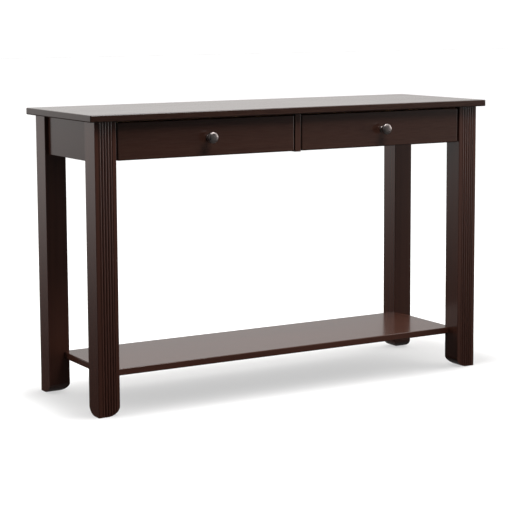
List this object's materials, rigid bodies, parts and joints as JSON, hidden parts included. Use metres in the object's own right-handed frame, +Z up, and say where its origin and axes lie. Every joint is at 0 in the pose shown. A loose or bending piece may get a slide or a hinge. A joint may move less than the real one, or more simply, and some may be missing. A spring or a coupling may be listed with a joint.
{
  "type": "console table",
  "caption": "Narrow console table with drawers side by side under a slab top, square legs reeded at the front, and a lower shelf.",
  "frame": {"origin": "on the floor, under the middle of the outline seen from above", "axes": "+X along the length to the right-hand drawer, -Y the way the drawers open, +Z up out of the top"},
  "size_m": [1.219, 0.413, 0.762],
  "materials": {
    "espresso_lacquer": "dark brown stain under satin lacquer",
    "bare_hardwood": "planed and unfinished",
    "plywood_panel": "sanded birch veneer",
    "knob_metal": "dark gunmetal plating, softly polished",
    "zinc_screw": "bright zinc plating"
  },
  "bodies": {
    "table": {"tabletop": "espresso_lacquer", "lower_shelf": "espresso_lacquer", "front_left_leg": "espresso_lacquer", "front_right_leg": "espresso_lacquer", "rear_left_leg": "espresso_lacquer", "rear_right_leg": "espresso_lacquer", "left_apron": "espresso_lacquer", "right_apron": "espresso_lacquer", "rear_apron": "espresso_lacquer", "front_bottom_rail": "espresso_lacquer", "centre_stile": "espresso_lacquer", "front_top_rail": "bare_hardwood", "centre_partition": "bare_hardwood", "left_outer_runner": "bare_hardwood", "left_inner_runner": "bare_hardwood", "right_outer_runner": "bare_hardwood", "right_inner_runner": "bare_hardwood", "front_left_corner_block": "bare_hardwood", "front_left_shelf_dowel": "bare_hardwood", "front_right_corner_block": "bare_hardwood", "front_right_shelf_dowel": "bare_hardwood", "rear_left_corner_block": "bare_hardwood", "rear_left_shelf_dowel": "bare_hardwood", "rear_right_corner_block": "bare_hardwood", "rear_right_shelf_dowel": "bare_hardwood", "front_left_block_screw": "zinc_screw", "front_right_block_screw": "zinc_screw", "rear_left_block_screw": "zinc_screw", "rear_right_block_screw": "zinc_screw", "left_rail_screw": "zinc_screw", "right_rail_screw": "zinc_screw", "left_outer_runner_front_screw": "zinc_screw", "left_outer_runner_rear_screw": "zinc_screw", "left_inner_runner_front_screw": "zinc_screw", "left_inner_runner_rear_screw": "zinc_screw", "right_outer_runner_front_screw": "zinc_screw", "right_outer_runner_rear_screw": "zinc_screw", "right_inner_runner_front_screw": "zinc_screw", "right_inner_runner_rear_screw": "zinc_screw"},
    "left_drawer": {"left_drawer_front": "espresso_lacquer", "left_drawer_outer_side": "bare_hardwood", "left_drawer_inner_side": "bare_hardwood", "left_drawer_back": "bare_hardwood", "left_drawer_bottom": "plywood_panel", "left_drawer_stop": "bare_hardwood", "left_stop_screw": "zinc_screw", "left_knob": "knob_metal", "left_knob_screw": "zinc_screw"},
    "right_drawer": {"right_drawer_front": "espresso_lacquer", "right_drawer_outer_side": "bare_hardwood", "right_drawer_inner_side": "bare_hardwood", "right_drawer_back": "bare_hardwood", "right_drawer_bottom": "plywood_panel", "right_drawer_stop": "bare_hardwood", "right_stop_screw": "zinc_screw", "right_knob": "knob_metal", "right_knob_screw": "zinc_screw"}
  },
  "joints": [
    {"name": "left_drawer_slide", "type": "slide", "parent": "table", "child": "left_drawer", "axis": [0, -1, 0], "range_m": [0, 0.247]},
    {"name": "right_drawer_slide", "type": "slide", "parent": "table", "child": "right_drawer", "axis": [0, -1, 0], "range_m": [0, 0.247]}
  ]
}
